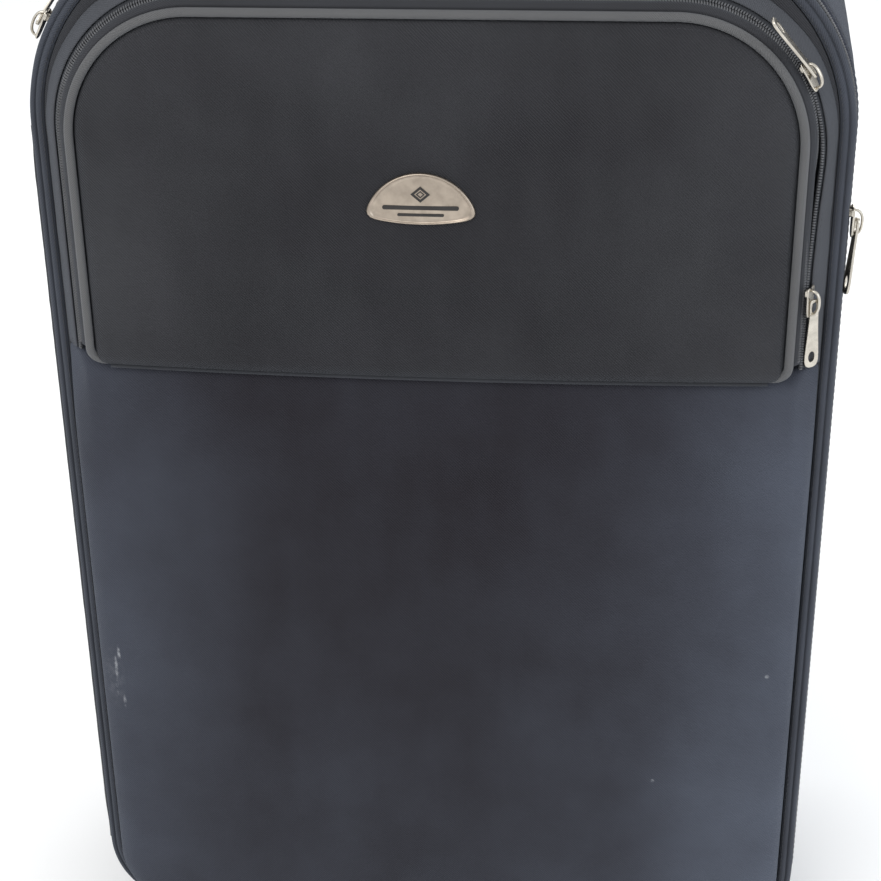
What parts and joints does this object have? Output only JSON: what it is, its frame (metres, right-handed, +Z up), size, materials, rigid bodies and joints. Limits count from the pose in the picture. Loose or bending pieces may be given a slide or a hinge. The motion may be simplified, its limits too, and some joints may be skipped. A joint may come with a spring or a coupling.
{
  "type": "softside upright suitcase",
  "caption": "Softside upright suitcase: fabric case with a zipped front lid and flap pocket, telescopic handle, carry handles, rear wheels and a foot bar.",
  "frame": {"origin": "on the floor, at the middle of the foot bar's resting face", "axes": "+Z up; the lid faces -Y; +X is to the right of someone facing the lid; the lid's hinge is on the -X edge"},
  "size_m": [0.4762, 0.2746, 0.722],
  "materials": {
    "shell_fabric": "dark charcoal twill polyester",
    "flap_fabric": "dark charcoal twill polyester",
    "grey_piping": "grey twill-tape piping",
    "black_binding": "black binding tape",
    "lining": "thin grey lining",
    "zip_tape": "black zip tape and coil",
    "nickel": "satin nickel",
    "badge_metal": "satin silver plate",
    "black_plastic": "moulded, satin",
    "grip_rubber": "soft-touch",
    "button_plastic": "smooth grey",
    "tube_aluminium": "anodised",
    "steel": "zinc plated",
    "hub_plastic": "moulded nylon",
    "wheel_tread": "polyurethane tread"
  },
  "bodies": {
    "case_body": {"main_shell": "shell_fabric", "back_panel": "shell_fabric", "back_piping": "black_binding", "frame_hoop": "steel", "side_lining": "lining", "cover_board": "lining", "packing_straps": "black_binding", "strap_buckle": "black_plastic", "base_foot": "black_plastic", "screws": "steel", "wheel_housing_left": "black_plastic", "wheel_housing_right": "black_plastic", "wheel_axles": "steel", "skid_rails": "black_plastic", "outer_tubes": "tube_aluminium", "tube_bracket": "black_plastic", "handle_bezel": "black_plastic", "top_handle_mounts": "black_plastic", "side_handle_mounts": "black_plastic", "main_zip_case": "zip_tape", "lid_hinge_strip": "black_binding"},
    "wheel_left": {"wheel_hub_left": "hub_plastic", "tyre_left": "wheel_tread"},
    "wheel_right": {"wheel_hub_right": "hub_plastic", "tyre_right": "wheel_tread"},
    "handle_stage_1": {"middle_tubes": "tube_aluminium"},
    "handle_stage_2": {"inner_tubes": "tube_aluminium", "grip_lower": "black_plastic", "grip_upper": "black_plastic", "button_springs": "steel"},
    "release_button": {"release_button": "button_plastic", "release_rods": "steel"},
    "lock_pins": {"lock_pins": "steel"},
    "top_handle": {"top_handle_grip": "grip_rubber"},
    "side_handle": {"side_handle_grip": "grip_rubber"},
    "lid": {"main_zip_lid": "zip_tape", "lid_band": "shell_fabric", "lid_board": "shell_fabric", "lid_lining": "lining", "pocket_panel": "shell_fabric", "pocket_gusset": "shell_fabric", "pocket_zip_lid": "zip_tape"},
    "flap": {"pocket_zip_flap": "zip_tape", "flap_panel": "flap_fabric", "flap_piping": "grey_piping", "badge": "badge_metal"},
    "main_slider_a": {"main_slider_a": "nickel"},
    "main_pull_a": {"main_pull_a": "nickel"},
    "main_slider_b": {"main_slider_b": "nickel"},
    "main_pull_b": {"main_pull_b": "nickel"},
    "flap_slider_upper": {"flap_slider_upper": "nickel"},
    "flap_pull_upper": {"flap_pull_upper": "nickel"},
    "flap_slider_lower": {"flap_slider_lower": "nickel"},
    "flap_pull_lower": {"flap_pull_lower": "nickel"}
  },
  "joints": [
    {"name": "wheel_left_spin", "type": "hinge", "parent": "case_body", "child": "wheel_left", "pos_m": [-0.175, 0.162, 0.032], "axis": [1, 0, 0], "continuous": true},
    {"name": "wheel_right_spin", "type": "hinge", "parent": "case_body", "child": "wheel_right", "pos_m": [0.175, 0.162, 0.032], "axis": [1, 0, 0], "continuous": true},
    {"name": "handle_stage_1_slide", "type": "slide", "parent": "case_body", "child": "handle_stage_1", "axis": [0, 0, 1], "range_m": [0, 0.19]},
    {"name": "handle_stage_2_slide", "type": "slide", "parent": "handle_stage_1", "child": "handle_stage_2", "axis": [0, 0, 1], "range_m": [0, 0.19]},
    {"name": "release_button_press", "type": "slide", "parent": "handle_stage_2", "child": "release_button", "axis": [0, 0, -1], "range_m": [0, 0.004], "stiffness_N_per_m": 400, "springref_m": -0.002, "deforming": ["button_springs"]},
    {"name": "lock_pins_retract", "type": "slide", "parent": "handle_stage_2", "child": "lock_pins", "axis": [0, 1, 0], "range_m": [0, 0.0016]},
    {"name": "top_handle_lift", "type": "slide", "parent": "case_body", "child": "top_handle", "axis": [0, 0, 1], "range_m": [0, 0.015]},
    {"name": "side_handle_pull", "type": "slide", "parent": "case_body", "child": "side_handle", "axis": [-1, 0, 0], "range_m": [0, 0.015]},
    {"name": "lid_hinge", "type": "hinge", "parent": "case_body", "child": "lid", "pos_m": [-0.226, -0.036, 0.343], "axis": [0, 0, -1], "range_deg": [0, 165]},
    {"name": "flap_hinge", "type": "hinge", "parent": "lid", "child": "flap", "pos_m": [0, -0.0675, 0.4495], "axis": [1, 0, 0], "range_deg": [0, 150]},
    {"name": "main_slider_a_travel", "type": "hinge", "parent": "case_body", "child": "main_slider_a", "pos_m": [-0.115, -0.036, 0.58], "axis": [0, 1, 0], "range_deg": [-18, 50]},
    {"name": "main_slider_b_travel", "type": "slide", "parent": "case_body", "child": "main_slider_b", "axis": [0, 0, 1], "range_m": [-0.4, 0.03]},
    {"name": "flap_slider_upper_travel", "type": "hinge", "parent": "flap", "child": "flap_slider_upper", "pos_m": [0.1255, -0.05987, 0.577], "axis": [0, -1, 0], "range_deg": [-20, 50]},
    {"name": "flap_slider_lower_travel", "type": "slide", "parent": "flap", "child": "flap_slider_lower", "axis": [0, 0, 1], "range_m": [0, 0.05]},
    {"name": "main_pull_a_swing", "type": "hinge", "parent": "main_slider_a", "child": "main_pull_a", "pos_m": [-0.21477, -0.036, 0.63305], "axis": [0, -1, 0], "range_deg": [0, 170]},
    {"name": "main_pull_b_swing", "type": "hinge", "parent": "main_slider_b", "child": "main_pull_b", "pos_m": [0.228, -0.036, 0.53], "axis": [0, -1, 0], "range_deg": [0, 170]},
    {"name": "flap_pull_lower_swing", "type": "hinge", "parent": "flap_slider_lower", "child": "flap_pull_lower", "pos_m": [0.20623, -0.06321, 0.493], "axis": [-0.6428, -0.766, 0], "range_deg": [0, 170]},
    {"name": "flap_pull_upper_swing", "type": "hinge", "parent": "flap_slider_upper", "child": "flap_pull_upper", "pos_m": [0.1961, -0.06321, 0.61614], "axis": [0.5622, 0.766, 0.3116], "range_deg": [0, 170]}
  ],
  "couplings": [
    {"joint": "lock_pins_retract", "follows": "release_button_press", "ratio": 0.4}
  ]
}
